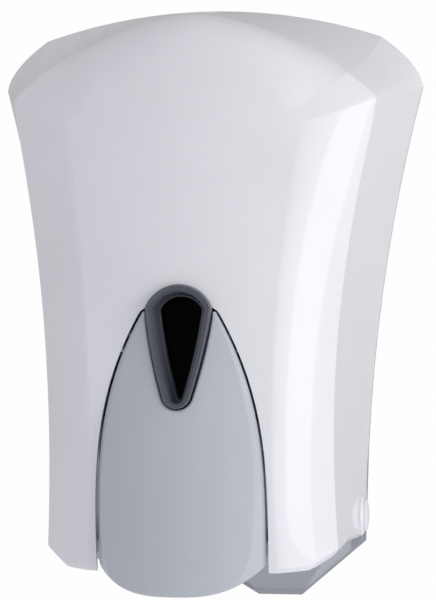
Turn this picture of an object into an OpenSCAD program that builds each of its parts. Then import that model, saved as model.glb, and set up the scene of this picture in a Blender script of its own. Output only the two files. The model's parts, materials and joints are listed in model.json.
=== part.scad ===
// Wall mounted soap dispenser: hinged cover with a push lever, refillable tank and piston pump.
// The wall face is y = 0, the front looks along -Y, +Z is up and the origin is the wall face's centre.

/* [Cover] */
// Height of the arched top above the origin
cover_top = 115; // [114.5:0.5:117]
// Depth of the bottom edge below the origin
cover_bottom = 98.5; // [98:0.5:99]
// Half width of the rear edge at the bottom
foot_half = 61.3; // [61.3:0.1:62.5]
// How much further out the shoulder stands
flare = 22.2; // [21:0.2:23]
// Distance from the wall to the front at its fullest
cover_depth = 92; // [91.5:0.5:93]
// Thickness of the cover's wall
wall = 2.5; // [2.2:0.1:2.6]

/* [Lever] */
// Half width of the lever at its foot
lever_half = 30.5; // [30:0.1:30.8]
// Distance of the lever's face from the wall at its foot
lever_out = 106; // [104:1:108]

/* [Mounting] */
// Distance between the wall screws, across
screw_across = 96; // [88:1:98]
// Distance between the wall screws, up and down
screw_up = 100; // [92:1:104]
// Radius of the wall screw holes
screw_r = 2.6; // [2.2:0.1:3]

/* [Pump] */
// Distance of the pump's axis from the wall
pump_out = 44; // [44:0.5:45]
// Radius of the pump's chamber
chamber_r = 7.5; // [7.4:0.05:7.6]
// Turns of the return spring
spring_turns = 5; // [4:1:6]

/* [Hidden] */
$fn = 48;
gap = 0.3;
plate = 3;

// cover outline, seen from the front
shoulder_z = 84;
flare_from = -95;
flare_power = 2.1;
arch_r = 210;
arch_half = 67;
corner_ctrl = [82.5, 93];
foot_inset = 6.4;
shoulder_wall = 11;
waist_inset = 3.2;
shoulder_dir = 217;
shoulder_inset = 16.6;
arch_end_dir = 262;
arch_end_inset = 22.2;
arch_inset = 7;
side_steps = 12;
corner_steps = 4;
arch_steps = 7;
half_steps = side_steps + corner_steps + arch_steps;
columns = 2 * half_steps;

// cover surface, from the rear edge to the centre line
wall_rings = 2;
round_rings = 5;
front_rings = 3;
rings = wall_rings + round_rings + front_rings;
// Rounding between wall and front: width, depth, and how square it starts
side_rounding = [22, 18, 0.75];
corner_rounding = [24, 12, 0.7];
arch_rounding = [22, 24, 0.12];
reach = 70;
crown_across = 150;
crown_up = 555;
crown_z = -20;
spine_top = 56;

// hinge, lever, rocker, lid and lock axes
hinge_y = -12;
hinge_z = -84;
hinge_r = 3;
dome_x = 60.5;
dome_r = 6.5;
pivot_y = -82;
pivot_z = -12;
pivot_r = 1.5;
rocker_y = -66;
rocker_z = -72;
rocker_r = 2;
arm_end = [rocker_y - 2, rocker_z - 23];
arm_r = 3.5;
lid_y = -30.5;
lid_z = 71.5;
lock_y = -18;
lock_z = 102.4;
pump_y = -pump_out;

// lever outline
arch_foot_z = -85;
arch_loss = 0.577;
arch_loss_at = 81.4;
arch_power = 2.7;
lever_bottom = -105.4;
lever_bottom_r = 68;
lever_gap = 0.8;
lever_wall = 2.4;
lever_top_out = 93;

// window outline
window_top = 5.6;
window_r = 13;
window_half = 12.1;
window_tip_z = -39;
lens_rear = 81;
lens_fore = 82.8;

// tank and pump heights
tank_bottom = -44.5;
tank_top = 67;
neck_end = -54;
nut_end = -59;
flange_top = -76;
fork_out = 22;

// lower edge of the back plate, with a shallow notch between two feet
foot_bottom = -116.8;
left_foot_bottom = -110.5;
foot_top = -94;
foot_in = 18.5;
foot_corner = 35.7;
foot_out = 22;
notch_half = 7.5;
notch_z = -110.3;

// filling mouth in the top of the tank and the flap over it
mouth_half = 28;
mouth_fore = -54;
mouth_rear = -37;
lid_reach = 26;

function half_width(z) =
    foot_half + flare * pow(max(0, (z - flare_from) / (shoulder_z - flare_from)), flare_power);
function arch_z(x) = cover_top - arch_r + sqrt(arch_r * arch_r - x * x);
function bezier(p, c, q, t) = (1 - t) * (1 - t) * p + 2 * t * (1 - t) * c + t * t * q;
function blend(a, b, t) = a + (b - a) * t;

// One point of the half outline: [x, z, inward direction, wall inset, rounding]
function side_point(k) =
    let (
        f = pow(k / side_steps, 0.85),
        z = blend(-cover_bottom, shoulder_z, f),
        turn = (shoulder_dir - 180) * pow(f, 4),
        lean = blend(foot_inset, shoulder_wall, f * f) + waist_inset * sin(180 * f)
    )
    [half_width(z), z, 180 + turn, lean / cos(turn + 11.5 * f * f),
     blend(side_rounding, corner_rounding, pow(f, 4))];
function corner_point(k) =
    let (
        f = k / corner_steps,
        p = bezier([half_width(shoulder_z), shoulder_z], corner_ctrl, [arch_half, arch_z(arch_half)], f)
    )
    [p[0], p[1], blend(shoulder_dir, arch_end_dir, f), blend(shoulder_inset, arch_end_inset, f),
     corner_rounding];
function arch_point(k) =
    let (
        f = k / arch_steps,
        x = arch_half * (1 - f),
        fade = pow(1 - f, 1.5)
    )
    [x, arch_z(x), blend(arch_end_dir, 270, f), blend(arch_inset, arch_end_inset, fade),
     blend(arch_rounding, corner_rounding, fade * fade)];
function half_point(k) =
    k <= side_steps ? side_point(k)
    : k <= side_steps + corner_steps ? corner_point(k - side_steps)
    : arch_point(k - side_steps - corner_steps);

// Depth of the front surface at a place in front view
function front(x, z) =
    cover_depth - pow(z - crown_z, 2) / (2 * crown_up) - x * x / (2 * crown_across);
// Share of the way round from the wall (0) to the front (1) at a ring
function turned(i) = min(1, (i - wall_rings) / round_rings);
function ring_reach(i, inset, rounding) =
    i <= wall_rings ? inset * i / wall_rings
    : i <= wall_rings + round_rings ? inset + rounding[0] * bezier(0, rounding[2], 1, turned(i))
    : blend(inset + rounding[0], reach, (i - wall_rings - round_rings) / front_rings);
function ring_depth(i, depth, rounding) =
    i <= wall_rings ? blend(plate + gap, depth - rounding[1], i / wall_rings)
    : depth - rounding[1] + rounding[1] * bezier(0, 1, 1, turned(i));

// A point of the shell's outside (thick = 0) or inside (thick = wall)
function shell_point(i, j, thick) =
    let (
        h = half_point(min(j, columns - j)),
        dir = [cos(h[2]), sin(h[2])],
        p = [h[0], h[1]] + thick * dir,
        q = [0, min(h[1], spine_top)],
        xz = bezier(p, p + dir * reach / 2, q, ring_reach(i, h[3], h[4]) / reach),
        side = j <= half_steps ? 1 : -1
    )
    [side * xz[0], -ring_depth(i, front(xz[0], xz[1]) - thick, h[4]), xz[1]];

// Columns whose path ends at the top of the spine share one last point
spine_columns = len([for (k = [0:half_steps]) if (half_point(k)[1] < spine_top) k]);
skin_size = rings * (columns + 1) + spine_columns + 1;
function skin_index(i, j) =
    i < rings ? i * (columns + 1) + j
    : rings * (columns + 1) + min(j, columns - j, spine_columns);
function skin_points(thick) = concat(
    [for (i = [0:rings - 1]) for (j = [0:columns]) shell_point(i, j, thick)],
    [for (k = [0:spine_columns]) shell_point(rings, k, thick)]
);
function quad(a, b, c, d) = concat(
    a != b && b != c && a != c ? [[a, b, c]] : [],
    a != c && c != d && a != d ? [[a, c, d]] : []
);
function skin_faces(from, flip) = [
    for (i = [0:rings - 1]) for (j = [0:columns - 1])
        let (
            a = from + skin_index(i, j),
            b = from + skin_index(i, j + 1),
            c = from + skin_index(i + 1, j + 1),
            d = from + skin_index(i + 1, j)
        )
        each flip ? quad(d, c, b, a) : quad(a, b, c, d)
];
function rear_faces() = [
    for (j = [0:columns - 1])
        each quad(j + 1, j, skin_size + j, skin_size + j + 1)
];
function bottom_faces(j, flip) = [
    for (i = [0:rings - 1])
        let (
            a = skin_index(i, j),
            b = skin_index(i + 1, j),
            c = skin_size + b,
            d = skin_size + a
        )
        each flip ? quad(d, c, b, a) : quad(a, b, c, d)
];

// Extrudes a front view outline from one depth to another
module depth(rear, fore) {
    translate([0, -rear, 0]) rotate([90, 0, 0]) linear_extrude(fore - rear) children();
}

// Extrudes a side view outline, drawn as [y, z], between two places across
module across(from, to) {
    translate([from, 0, 0]) rotate([90, 0, 90]) linear_extrude(to - from) children();
}

// A rod along X about an axis through [y, z]
module rod(y, z, r, from, to) {
    translate([from, y, z]) rotate([0, 90, 0]) cylinder(r = r, h = to - from);
}

// A ring about a vertical axis, open in the middle
module tube(outer, inner, low, high) {
    translate([0, 0, low]) difference() {
        cylinder(r = outer, h = high - low);
        translate([0, 0, -1]) cylinder(r = inner, h = high - low + 2);
    }
}

module both_sides() {
    children();
    mirror([1, 0, 0]) children();
}

// ---- outlines ----

function lever_half_at(z) =
    lever_half * (1 - (z > arch_foot_z ? arch_loss * pow((z - arch_foot_z) / arch_loss_at, arch_power) : 0));

module arch_outline(grow) {
    tip = -3;
    steps = 14;
    right = [
        for (k = [0:steps])
            let (z = blend(tip, arch_foot_z, k / steps))
            [lever_half_at(z) + grow, z]
    ];
    foot = [[lever_half + grow + 0.5, -130], [-lever_half - grow - 0.5, -130]];
    left = [for (k = [steps:-1:0]) [-right[k][0], right[k][1]]];
    polygon(concat(right, foot, left));
}

module window_outline(shrink) {
    r = window_r - shrink;
    kink = asin((window_half - shrink) / r);
    top = [for (k = [-6:6]) [r * sin(kink * k / 6), window_top - window_r + r * cos(kink * k / 6)]];
    tip = window_tip_z + shrink * 2;
    polygon(concat(top, [[1.5, tip + 0.8], [0, tip], [-1.5, tip + 0.8]]));
}

module base_outline() {
    corner = [[foot_half - 0.3, foot_top - 1]];
    right = concat(
        [[notch_half, notch_z], [foot_in, foot_bottom], [foot_corner, foot_bottom]], corner,
        [for (k = [1:half_steps]) [half_point(k)[0], half_point(k)[1]]]
    );
    left = [for (k = [len(right) - 2:-1:0]) [-right[k][0], max(right[k][1], left_foot_bottom)]];
    polygon(concat(right, left));
}

// A foot, which slopes from the plate's lower edge up to its front
module foot_block(inset, top, low) {
    inner = notch_half + inset;
    hull() {
        depth(inset, inset + 0.5) polygon([
            [inner, top], [inner, notch_z + inset], [foot_in + inset / 2, low + inset],
            [foot_corner - inset / 2, low + inset], [55.5 - inset, -99.5 + inset], [55.5 - inset, top]
        ]);
        depth(foot_out - inset - 0.5, foot_out - inset) polygon([
            [inner, top], [inner, -99 + inset], [47 - inset / 2, -99 + inset], [53 - inset, top]
        ]);
    }
}

module hollow_foot(low) {
    difference() {
        foot_block(0, foot_top, low);
        foot_block(2.2, foot_top + 5, low);
    }
}

// ---- back plate ----

module base_plate() {
    ear_in = 50.5;
    ear_out = 55.8;
    ear_r = 8;
    screw_mid_z = 22;
    screw_zs = [screw_mid_z - screw_up / 2, screw_mid_z + screw_up / 2];
    cradle_zs = [-54, -82];
    cradle_x = 36;
    keeper_z = lock_z - 11.5;
    color([0.62, 0.64, 0.66]) difference() {
        union() {
            depth(0, plate) base_outline();
            hollow_foot(foot_bottom);
            mirror([1, 0, 0]) hollow_foot(left_foot_bottom);
            both_sides() {
                // hinge ears
                rod(hinge_y, hinge_z, ear_r, ear_in, ear_out);
                translate([ear_in, hinge_y, hinge_z - ear_r])
                    cube([ear_out - ear_in, -hinge_y - plate + 0.5, 2 * ear_r]);
                // pads for the cradle's screws and the wall screws
                for (z = cradle_zs) translate([cradle_x, 0, z]) rotate([90, 0, 0]) cylinder(r = 5, h = 9);
                for (z = screw_zs) translate([screw_across / 2, 0, z]) rotate([90, 0, 0])
                    cylinder(r = 8, h = plate + 1.5);
                // stiffening ribs
                translate([56, -6, -70]) cube([1.8, 3.5, 64]);
                translate([20, -6, 82]) cube([44, 3.5, 1.8]);
            }
            // keeper that the lock's cam swings behind
            translate([10.2, -27, keeper_z]) cube([4.8, 24.5, 2.8]);
            translate([10.2, -27, keeper_z]) cube([4.8, 2.6, 5.7]);
        }
        both_sides() {
            rod(hinge_y, hinge_z, hinge_r + 0.06, ear_in - 0.5, ear_out + 0.2);
            for (z = cradle_zs) translate([cradle_x, -1, z]) rotate([90, 0, 0]) cylinder(r = 1.5, h = 12);
            for (z = screw_zs) translate([screw_across / 2, 1, z]) rotate([90, 0, 0])
                cylinder(r = screw_r, h = 12);
        }
    }
}

// ---- cover and what rides on it ----

module cover_shell() {
    polyhedron(
        points = concat(skin_points(0), skin_points(wall)),
        faces = concat(
            skin_faces(0, false), skin_faces(skin_size, true), rear_faces(),
            bottom_faces(0, true), bottom_faces(columns, false)
        ),
        convexity = 6
    );
}

// Space below the cover's lower edge, which steps up towards the wall and is round about the hinge
module below_cover() {
    across(-100, 100) difference() {
        polygon([
            [-86, -98.4], [-44, -95.4], [-43, -91.4], [hinge_y, -92.6], [hinge_y, hinge_z],
            [20, hinge_z], [20, -120], [-86, -120]
        ]);
        translate([hinge_y, hinge_z]) circle(r = 8.6);
    }
    // chamfer at the lower corners
    both_sides() depth(44, 120) polygon([[44.8, -99.2], [64, -99.2], [64, -87]]);
}

module cover() {
    lug_in = 20.7;
    lug_out = 23.4;
    lug_y = -88.6;
    collar_r = 8.2;
    color([0.93, 0.93, 0.94]) difference() {
        union() {
            difference() {
                cover_shell();
                below_cover();
                // way for the lever, with a tongue left standing behind the window
                difference() {
                    depth(70, 120) arch_outline(lever_gap);
                    depth(69, 121) window_outline(0);
                }
            }
            both_sides() {
                rod(hinge_y, hinge_z, collar_r, 56.2, dome_x);
                across(lug_in, lug_out) polygon([
                    [lug_y, pivot_z + 7], [pivot_y, pivot_z + 4], [pivot_y + 4, pivot_z],
                    [pivot_y, pivot_z - 4], [lug_y, pivot_z - 7]
                ]);
            }
            at_lock() cylinder(r = 11, h = 9);
        }
        both_sides() {
            rod(hinge_y, hinge_z, hinge_r, 55, 70);
            rod(hinge_y, hinge_z, dome_r + 0.05, dome_x, 70);
            rod(pivot_y, pivot_z, pivot_r, lug_in - 1, lug_out + 1);
        }
        depth(70, 120) window_outline(1.8);
        at_lock() {
            translate([0, 0, -10]) cylinder(r = 7, h = 40);
            translate([0, 0, 7.2]) cylinder(r = 9.3, h = 20);
        }
    }
}

module hinge_pins() {
    color([0.9, 0.9, 0.91]) both_sides() {
        rod(hinge_y, hinge_z, hinge_r, 50.6, dome_x + 0.1);
        translate([dome_x, hinge_y, hinge_z]) rotate([0, 90, 0]) rotate_extrude()
            polygon([[0, 0], [dome_r, 0], [dome_r, 0.9], [5.6, 1.7], [3.4, 2.3], [0, 2.5]]);
    }
}

// Lever face: a large cylinder that leans out towards the foot
module lever_block(back) {
    lean = atan((lever_out - lever_top_out) / 105);
    face_r = 150;
    translate([0, face_r - lever_top_out + back, 0]) rotate([-lean, 0, 0])
        translate([0, 0, -150]) cylinder(r = face_r, h = 220, $fn = 96);
}

module lever_outline(shrink) {
    intersection() {
        arch_outline(-shrink);
        union() {
            translate([0, lever_bottom + lever_bottom_r]) circle(r = lever_bottom_r - shrink, $fn = 96);
            translate([-40, -60]) square([80, 80]);
        }
    }
}

module push_lever() {
    nose_y = arm_end[0] - arm_r - gap;
    color([0.72, 0.74, 0.76]) difference() {
        union() {
            difference() {
                intersection() {
                    lever_block(0);
                    depth(80, 120) lever_outline(0);
                }
                // hollow behind the face, below the window
                intersection() {
                    lever_block(lever_wall);
                    depth(79, 120) difference() {
                        lever_outline(2.2);
                        translate([-40, -43]) square([80, 60]);
                    }
                }
                translate([-40, -88, -43]) cube([80, 10, 60]);
                depth(70, 120) window_outline(-0.6);
            }
            both_sides() across(11.6, 15) hinge_ear();
            // nose that pushes the rocker, on two ribs
            translate([-5, -100, -99]) cube([10, 100 + nose_y, 8]);
            both_sides() translate([3, -100, -92]) cube([1.8, 18, 46]);
        }
        rod(pivot_y, pivot_z, pivot_r + 0.05, -16, 16);
    }
}

// The lever's ear about its pivot, in side view
module hinge_ear() {
    translate([pivot_y, pivot_z]) circle(r = 3.8);
    polygon([
        [pivot_y, pivot_z + 3.8], [pivot_y, pivot_z - 3.8],
        [-91, pivot_z - 8], [-91, pivot_z + 1]
    ]);
}

module lever_pins() {
    color([0.75, 0.76, 0.78]) both_sides() rod(pivot_y, pivot_z, pivot_r, 11.6, 23.4);
}

module window_bezel() {
    color([0.32, 0.34, 0.40, 0.9]) intersection() {
        difference() {
            union() {
                depth(cover_depth, 101) window_outline(0.05);
                depth(lens_rear - 0.8, cover_depth + 0.1) window_outline(1.85);
            }
            depth(70, 110) window_outline(4.2);
        }
        across(-20, 20) polygon([[-70, 10], [-94.4, 10], [-94.4, 2], [-99.4, -40], [-70, -40]]);
    }
}

module window_lens() {
    color([0.05, 0.05, 0.06, 0.8]) depth(lens_rear, lens_fore) window_outline(4.2);
}

// ---- tank ----

module tank_form(inset) {
    wide = 62 - inset;
    narrow = 47 - inset;
    intersection() {
        depth(9 + inset, 80) polygon([
            [narrow - 6, tank_bottom + inset], [narrow, tank_bottom + 6 + inset],
            [wide, tank_top - 6 - inset], [wide - 6, tank_top - inset],
            [-wide + 6, tank_top - inset], [-wide, tank_top - 6 - inset],
            [-narrow, tank_bottom + 6 + inset], [-narrow + 6, tank_bottom + inset]
        ]);
        translate([0, 0, -60]) linear_extrude(160) polygon([
            [wide, -5], [wide, -42 + inset / 3], [42 - inset / 2, -72 + inset],
            [-42 + inset / 2, -72 + inset], [-wide, -42 + inset / 3], [-wide, -5]
        ]);
    }
}

module tank() {
    color([0.16, 0.17, 0.20, 0.7]) difference() {
        union() {
            tank_form(0);
            // raised mouth
            translate([-mouth_half - 2.4, mouth_fore - 2, tank_top - 0.5])
                cube([2 * mouth_half + 4.8, mouth_rear - mouth_fore + 4, 3]);
            both_sides() translate([24.6, 0, 0]) {
                rod(lid_y, lid_z, 2.6, 0, 4);
                translate([0, lid_y - 2.6, tank_top - 0.5]) cube([4, 5.2, lid_z - tank_top + 0.5]);
            }
            translate([0, pump_y, neck_end]) cylinder(r = 12.6, h = 12);
        }
        tank_form(2.4);
        translate([-mouth_half, mouth_fore, tank_top - 10])
            cube([2 * mouth_half, mouth_rear - mouth_fore, 20]);
        rod(lid_y, lid_z, 1.2, -40, 40);
        translate([0, pump_y, neck_end - 1]) cylinder(r = 10, h = 20);
    }
}

module tank_lid() {
    color([0.2, 0.21, 0.24]) difference() {
        union() {
            translate([-32, lid_y - lid_reach, lid_z - 1.9]) cube([64, lid_reach - 4.2, 2.4]);
            translate([-23.8, lid_y - 4.5, lid_z - 1.9]) cube([47.6, 4.5, 2.4]);
            rod(lid_y, lid_z, 2.4, -23.8, 23.8);
            translate([-mouth_half + 0.4, mouth_fore + 0.4, lid_z - 4.4])
                cube([2 * mouth_half - 0.8, mouth_rear - mouth_fore - 0.8, 3]);
            // finger tab
            translate([-9, lid_y - lid_reach - 1.5, lid_z - 0.9]) cube([18, 2.5, 1.4]);
        }
        rod(lid_y, lid_z, 1.27, -40, 40);
        translate([-mouth_half + 2.4, mouth_fore + 2.4, lid_z - 5])
            cube([2 * mouth_half - 4.8, mouth_rear - mouth_fore - 4.8, 3.1]);
    }
}

module lid_seal() {
    color([0.1, 0.1, 0.11]) difference() {
        translate([-mouth_half + 2.4, mouth_fore + 2.4, lid_z - 4.4])
            cube([2 * mouth_half - 4.8, mouth_rear - mouth_fore - 4.8, 2.5]);
        translate([-mouth_half + 4.4, mouth_fore + 4.4, lid_z - 5])
            cube([2 * mouth_half - 8.8, mouth_rear - mouth_fore - 8.8, 4]);
    }
}

module lid_pin() {
    color("silver") rod(lid_y, lid_z, 1.2, -28.6, 28.6);
}

module tank_clips() {
    color([0.8, 0.81, 0.83]) both_sides() difference() {
        translate([0, 0, tank_top]) across(27, 38) polygon([
            [-3, -12], [-5, -12], [-5.2, 2], [-9, 2], [-9, 0.1], [-17, 0.1], [-18.5, 1.5], [-17, 3.4],
            [-5, 4.6], [-3, 4.6]
        ]);
        translate([32.5, -2, tank_top - 7]) rotate([90, 0, 0]) cylinder(r = 1.6, h = 5);
    }
}

// ---- cradle ----

module pump_cradle() {
    cheek_in = 16.2;
    cheek_out = 18;
    color([0.70, 0.71, 0.73]) difference() {
        union() {
            translate([-44, -62, tank_bottom - 3.5]) cube([88, 53, 3.5]);
            translate([-44, -12, -90]) cube([88, 3, 42.5]);
            both_sides() {
                across(cheek_in, cheek_out) polygon([
                    [-10, -46], [-61, -46], [-72, rocker_z + 8], [-72, rocker_z - 6], [-62, rocker_z - 12],
                    [-10, -90]
                ]);
                // gussets under the shelf
                across(40, 42) polygon([[-10, -46], [-58, -46], [-10, -76]]);
            }
        }
        translate([0, pump_y, -70]) cylinder(r = 14, h = 40);
        translate([-14, -100, tank_bottom - 5]) cube([28, 100 + pump_y, 8]);
        rod(rocker_y, rocker_z, rocker_r, -20, 20);
        for (x = [-36, 36]) for (z = [-54, -82])
            translate([x, -5, z]) rotate([90, 0, 0]) cylinder(r = 1.7, h = 10);
        // way between the cheeks for the nozzle
        translate([-13, -13, -91]) cube([26, 5, 14]);
    }
}

module cradle_screws() {
    color("silver") for (x = [-36, 36]) for (z = [-54, -82]) translate([x, 0, z]) rotate([90, 0, 0]) {
        translate([0, 0, 1.6]) cylinder(r = 1.5, h = 10.8);
        difference() {
            translate([0, 0, 12]) cylinder(r = 3, h = 2.2);
            for (turn = [0, 90]) rotate(turn) translate([-1.9, -0.4, 13]) cube([3.8, 0.8, 2]);
        }
    }
}

// ---- pump, about a vertical axis at pump_y ----

module at_pump() {
    translate([0, pump_y, 0]) children();
}

module pump_body() {
    color([0.86, 0.87, 0.88]) at_pump() {
        tube(9.8, chamber_r, neck_end - 1.5, -31);
        tube(9.8, 2.2, -31, -28.5);
        tube(12.4, chamber_r, neck_end - 3, neck_end - 1);
        // strainer posts round the inlet
        for (turn = [0:60:300]) rotate(turn) translate([7, 0, -29]) cylinder(r = 1, h = 4);
        tube(8.4, 5.6, -25.2, -24);
    }
}

module pump_nut() {
    color([0.5, 0.52, 0.55]) at_pump() difference() {
        union() {
            tube(15.4, 12.7, nut_end + 2, -49);
            tube(15.4, 4.08, nut_end, nut_end + 2);
        }
        // finger flutes
        for (turn = [15:30:345]) rotate(turn) translate([16, 0, nut_end - 1])
            cylinder(r = 1.3, h = 12, $fn = 24);
    }
}

module neck_gasket() {
    color([0.12, 0.12, 0.13]) at_pump() tube(12.4, 10, neck_end - 1, neck_end);
}

module inlet_cage() {
    color([0.75, 0.76, 0.78]) at_pump() difference() {
        union() {
            tube(chamber_r, 3.3, -37.3, -31);
            tube(chamber_r, 0.8, -39.3, -37.3);
        }
        // ways for the soap round the ball
        for (turn = [0:90:270]) rotate(turn) translate([3.4, 0, -40]) cylinder(r = 1.2, h = 12, $fn = 24);
    }
}

module inlet_ball() {
    color("silver") translate([0, pump_y, -34.25]) sphere(r = 3);
}

module piston() {
    color([0.88, 0.88, 0.9]) at_pump() difference() {
        union() {
            translate([0, 0, -56.8]) cylinder(r = chamber_r - 0.08, h = 2);
            translate([0, 0, -54.8]) cylinder(r = 6.2, h = 2.4);
            translate([0, 0, -52.4]) cylinder(r = chamber_r - 0.08, h = 1.9);
            translate([0, 0, -88]) cylinder(r = 4, h = 31.2);
        }
        translate([0, 0, -89]) cylinder(r = 1.8, h = 40);
    }
}

module piston_seal() {
    color([0.1, 0.1, 0.1]) at_pump() tube(chamber_r - 0.05, 6.2, -54.6, -52.6);
}

// Coil swept with an eight sided wire, one ring every 30 degrees
module return_spring() {
    low = flange_top + 0.6;
    high = nut_end - 0.6;
    coil_r = 6.6;
    wire_r = 0.55;
    sides = 8;
    ring_count = spring_turns * 12;
    points = [
        for (i = [0:ring_count]) for (k = [0:sides - 1])
            let (turn = i * 30, r = coil_r + wire_r * cos(k * 45))
            [r * cos(turn), r * sin(turn), blend(low, high, i / ring_count) + wire_r * sin(k * 45)]
    ];
    sweep = [
        for (i = [0:ring_count - 1]) for (k = [0:sides - 1])
            let (a = i * sides + k, b = i * sides + (k + 1) % sides)
            [a + sides, b + sides, b, a]
    ];
    ends = [
        [for (k = [0:sides - 1]) k],
        [for (k = [sides - 1:-1:0]) ring_count * sides + k]
    ];
    color("silver") at_pump() polyhedron(points = points, faces = concat(sweep, ends), convexity = 10);
}

module nozzle() {
    color([0.85, 0.86, 0.87]) at_pump() difference() {
        union() {
            translate([0, 0, flange_top - 2]) cylinder(r = 11.2, h = 2);
            translate([0, 0, -92]) cylinder(r = 6.4, h = 15);
            translate([0, 0, -105]) rotate_extrude()
                polygon([[0, 0], [4, 0], [4.8, 3], [5.4, 13.5], [0, 13.5]]);
        }
        translate([0, 0, -88]) cylinder(r = 4, h = 20);
        translate([0, 0, -106]) cylinder(r = 2.4, h = 20);
    }
}

module outlet_valve() {
    color([0.8, 0.45, 0.3]) at_pump() difference() {
        union() {
            translate([0, 0, -104.6]) cylinder(r = 2.4, h = 5);
            translate([0, 0, -106]) cylinder(r = 1.7, h = 1.6);
        }
        translate([0, 0, -103.6]) cylinder(r = 1.5, h = 5);
        translate([-1.2, -0.12, -107]) cube([2.4, 0.24, 4]);
    }
}

// ---- rocker ----

module rocker() {
    tip = [rocker_y + fork_out, flange_top - 4 - gap];
    knee = [rocker_y + 9.5, tip[1] - 0.7];
    color([0.55, 0.57, 0.6]) difference() {
        union() {
            rod(rocker_y, rocker_z, 4.4, -15.6, 15.6);
            both_sides() across(7.6, 10.6) {
                bar([rocker_y, rocker_z], knee, 3, 2);
                bar(knee, tip, 2, 2);
            }
            across(-6, 6) {
                bar([rocker_y, rocker_z], arm_end, 3.2, 1.8);
                translate(arm_end) circle(r = arm_r);
            }
            across(-0.9, 0.9) polygon([[rocker_y, rocker_z - 3], arm_end, [rocker_y + 8, rocker_z - 6]]);
        }
        rod(rocker_y, rocker_z, rocker_r + 0.05, -20, 20);
    }
}

// A round ended bar between two points of a side view, as wide as the radii at its ends
module bar(a, b, ra, rb) {
    d = b - a;
    n = [-d[1], d[0]] / norm(d);
    translate(a) circle(r = ra);
    translate(b) circle(r = rb);
    polygon([a + n * ra, b + n * rb, b - n * rb, a - n * ra]);
}

module rocker_pin() {
    color("silver") difference() {
        rod(rocker_y, rocker_z, rocker_r, -19.6, 19.6);
        both_sides() difference() {
            rod(rocker_y, rocker_z, rocker_r + 1, 18.1, 18.8);
            rod(rocker_y, rocker_z, 1.5, 18, 19);
        }
    }
}

module rocker_clips() {
    color([0.3, 0.3, 0.32]) both_sides() difference() {
        rod(rocker_y, rocker_z, 3.8, 18.1, 18.8);
        rod(rocker_y, rocker_z, 1.5, 18, 19);
        translate([17, rocker_y - 5, rocker_z - 1]) cube([3, 5, 2]);
    }
}

// ---- lock, about a vertical axis at lock_y ----

module at_lock() {
    translate([0, lock_y, lock_z]) children();
}

module lock_housing() {
    color("silver") at_lock() {
        tube(7, 4.6, -5, 7.4);
        tube(9, 4.6, 7.2, 8.6);
    }
}

module lock_nut() {
    color([0.6, 0.6, 0.62]) at_lock() difference() {
        translate([0, 0, -3.6]) cylinder(r = 9.6, h = 3.6, $fn = 6);
        translate([0, 0, -10]) cylinder(r = 7, h = 20);
    }
}

module lock_barrel() {
    color([0.78, 0.78, 0.8]) at_lock() difference() {
        translate([0, 0, -5.5]) cylinder(r = 4.54, h = 13.9);
        translate([-2.6, -0.5, 4]) cube([5.2, 1, 10]);
        translate([-0.9, -1.4, 4]) cube([1.8, 1.4, 10]);
        translate([0, 0, -10]) cylinder(r = 1.5, h = 11);
    }
}

module lock_cam() {
    color([0.66, 0.66, 0.68]) at_lock() difference() {
        union() {
            translate([0, 0, -7.3]) cylinder(r = 5.5, h = 1.8);
            translate([-4, 0, -7.3]) cube([8, 12, 1.8]);
        }
        translate([0, 0, -10]) cylinder(r = 1.5, h = 10);
    }
}

module cam_screw() {
    color("silver") at_lock() difference() {
        union() {
            translate([0, 0, -9.5]) cylinder(r = 3, h = 2.2);
            translate([0, 0, -7.5]) cylinder(r = 1.5, h = 7);
        }
        for (turn = [0, 90]) rotate(turn) translate([-1.9, -0.4, -10]) cube([3.8, 0.8, 1.4]);
    }
}

base_plate();
cover();
hinge_pins();
push_lever();
lever_pins();
window_bezel();
window_lens();
tank();
tank_lid();
lid_seal();
lid_pin();
tank_clips();
pump_cradle();
cradle_screws();
pump_body();
pump_nut();
neck_gasket();
inlet_cage();
inlet_ball();
piston();
piston_seal();
return_spring();
nozzle();
outlet_valve();
rocker();
rocker_pin();
rocker_clips();
lock_housing();
lock_nut();
lock_barrel();
lock_cam();
cam_screw();
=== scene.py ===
"""Looks of a wall mounted soap dispenser: finer shells, moulded details and materials."""

import json
import math

import bmesh
import bpy
import numpy as np
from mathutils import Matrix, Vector


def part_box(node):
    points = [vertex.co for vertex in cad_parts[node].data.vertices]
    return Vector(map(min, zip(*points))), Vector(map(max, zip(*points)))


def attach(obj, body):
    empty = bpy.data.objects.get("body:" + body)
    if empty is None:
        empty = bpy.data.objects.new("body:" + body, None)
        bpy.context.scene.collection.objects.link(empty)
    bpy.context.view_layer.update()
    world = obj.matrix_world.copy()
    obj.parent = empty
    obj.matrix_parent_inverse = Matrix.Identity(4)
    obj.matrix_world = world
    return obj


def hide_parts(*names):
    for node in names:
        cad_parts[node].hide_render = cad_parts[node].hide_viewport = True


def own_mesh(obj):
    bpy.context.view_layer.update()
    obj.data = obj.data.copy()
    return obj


MM = 0.001
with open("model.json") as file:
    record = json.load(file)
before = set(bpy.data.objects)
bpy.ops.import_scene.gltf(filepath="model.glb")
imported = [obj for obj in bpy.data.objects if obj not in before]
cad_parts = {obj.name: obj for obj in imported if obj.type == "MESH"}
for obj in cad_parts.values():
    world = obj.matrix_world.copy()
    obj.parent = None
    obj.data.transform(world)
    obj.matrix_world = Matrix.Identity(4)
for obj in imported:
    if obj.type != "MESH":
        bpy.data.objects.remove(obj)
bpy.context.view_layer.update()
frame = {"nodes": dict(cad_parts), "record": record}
nodes = frame["nodes"]


def box_mm(node):
    """Lowest and highest corner of a CAD node, in millimetres."""
    low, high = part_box(node)
    return np.array(low) / MM, np.array(high) / MM


# ---- driving sizes, in millimetres and degrees ----
cover_high = box_mm("cover")[1]
TOP = cover_high[2]
REAR = -cover_high[1]
BOTTOM = 98.5
FOOT_HALF = 61.3
SHOULDER_Z = 84
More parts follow.
